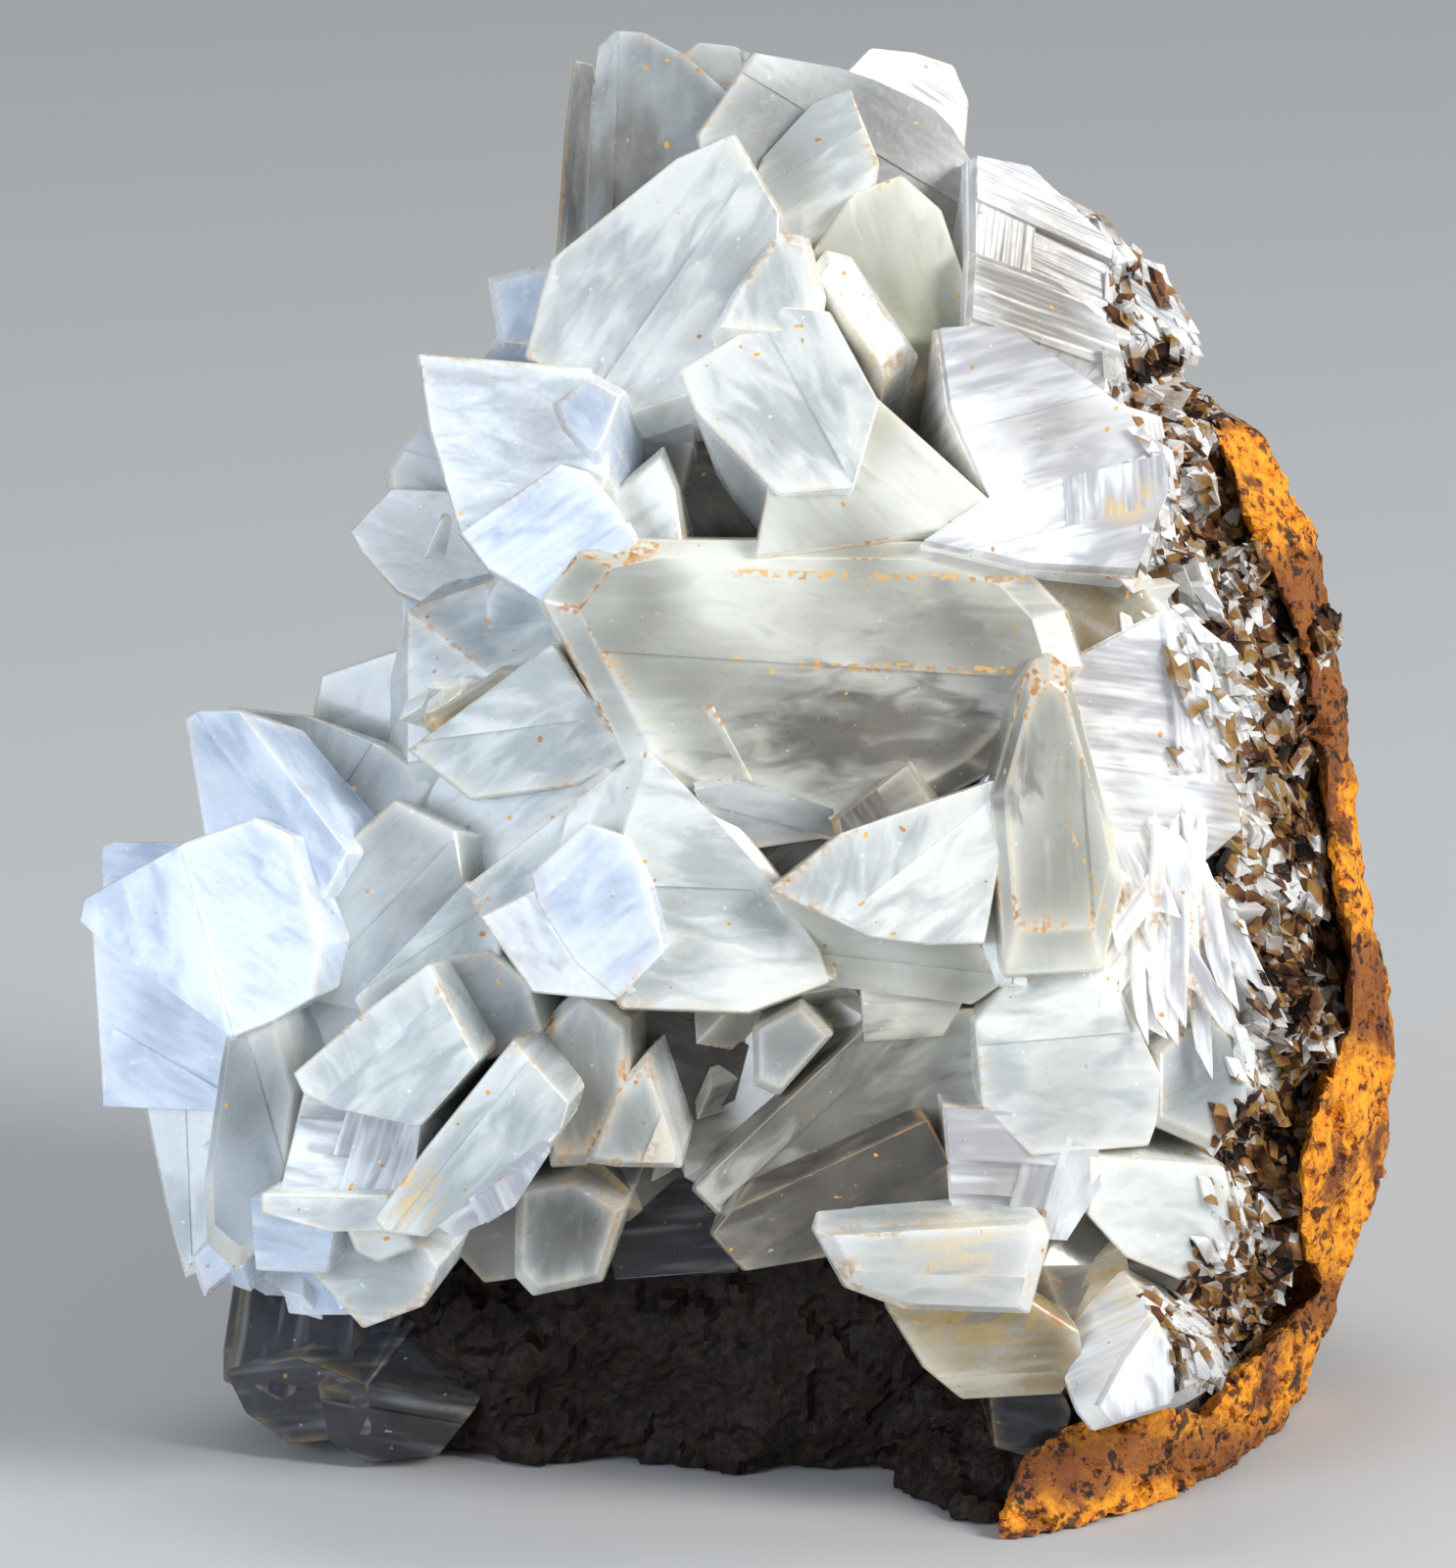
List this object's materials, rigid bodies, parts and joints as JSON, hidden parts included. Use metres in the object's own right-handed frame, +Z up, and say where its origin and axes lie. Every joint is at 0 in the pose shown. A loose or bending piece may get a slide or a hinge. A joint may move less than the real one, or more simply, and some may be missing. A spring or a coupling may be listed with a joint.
{
  "type": "calcite specimen",
  "caption": "Upright cluster of milky, intergrown calcite rhombs grading into cleaved white calcite on dark ironstone, with an orange limonite crust; stands on a flat base.",
  "frame": {"origin": "middle of the specimen's bounding box, on the surface that it stands on", "axes": "+Z up, +Y away from the person who looks at the crystal face, +X to that person's right"},
  "size_m": [0.1086, 0.0778, 0.115],
  "materials": {
    "calcite": "satin",
    "ironstone": "matte",
    "limonite": "matte"
  },
  "bodies": {
    "root": {"calcite_crystals": "calcite", "ironstone_matrix": "ironstone", "limonite_crust": "limonite"}
  },
  "joints": []
}
